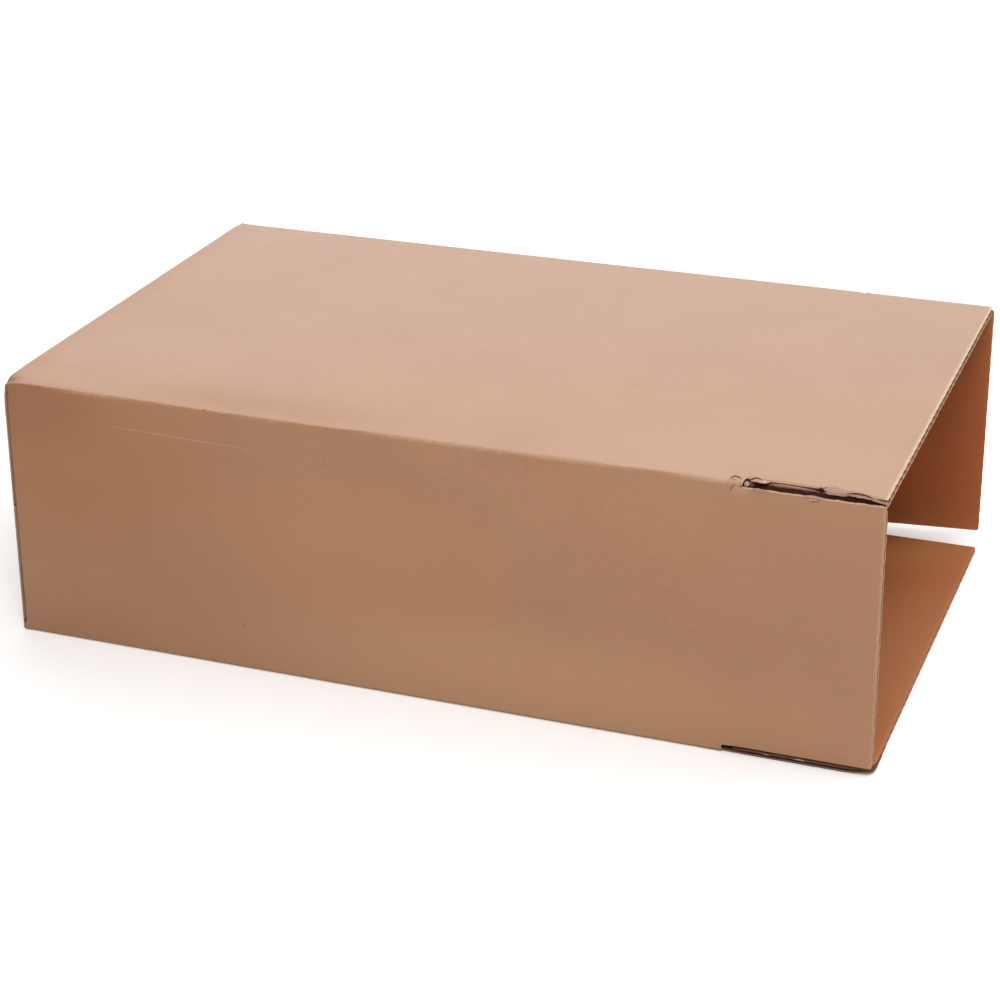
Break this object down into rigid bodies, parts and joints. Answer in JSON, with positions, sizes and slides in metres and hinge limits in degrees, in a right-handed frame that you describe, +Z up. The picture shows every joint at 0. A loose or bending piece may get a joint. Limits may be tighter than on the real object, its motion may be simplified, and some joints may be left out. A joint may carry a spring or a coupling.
{
  "type": "cardboard carton",
  "caption": "Corrugated cardboard carton lying on its side, one end shut, the other open with four hinged flaps standing out in line with the walls.",
  "frame": {"origin": "middle of the footprint on the floor, over the free flaps", "axes": "+X along the carton from its shut end to its open end, +Y from the near wall to the far wall, +Z up"},
  "size_m": [0.4126, 0.2562, 0.127],
  "materials": {
    "kraft_board": "matt brown corrugated board"
  },
  "bodies": {
    "box": {"box_body": "kraft_board"},
    "top_flap": {"top_flap": "kraft_board"},
    "bottom_flap": {"bottom_flap": "kraft_board"},
    "front_flap": {"front_flap": "kraft_board"},
    "back_flap": {"back_flap": "kraft_board"}
  },
  "joints": [
    {"name": "top_flap_hinge", "type": "hinge", "parent": "box", "child": "top_flap", "pos_m": [0.1437, -0.00407, 0.125], "axis": [0, 1, 0], "range_deg": [-90, 90]},
    {"name": "bottom_flap_hinge", "type": "hinge", "parent": "box", "child": "bottom_flap", "pos_m": [0.1437, -0.00407, 0.002], "axis": [0, -1, 0], "range_deg": [-90, 90]},
    {"name": "front_flap_hinge", "type": "hinge", "parent": "box", "child": "front_flap", "pos_m": [0.1394, -0.12607, 0.0635], "axis": [0, 0, 1], "range_deg": [-90, 90]},
    {"name": "back_flap_hinge", "type": "hinge", "parent": "box", "child": "back_flap", "pos_m": [0.1394, 0.11793, 0.0635], "axis": [0, 0, -1], "range_deg": [-82.9, 97.1]}
  ]
}
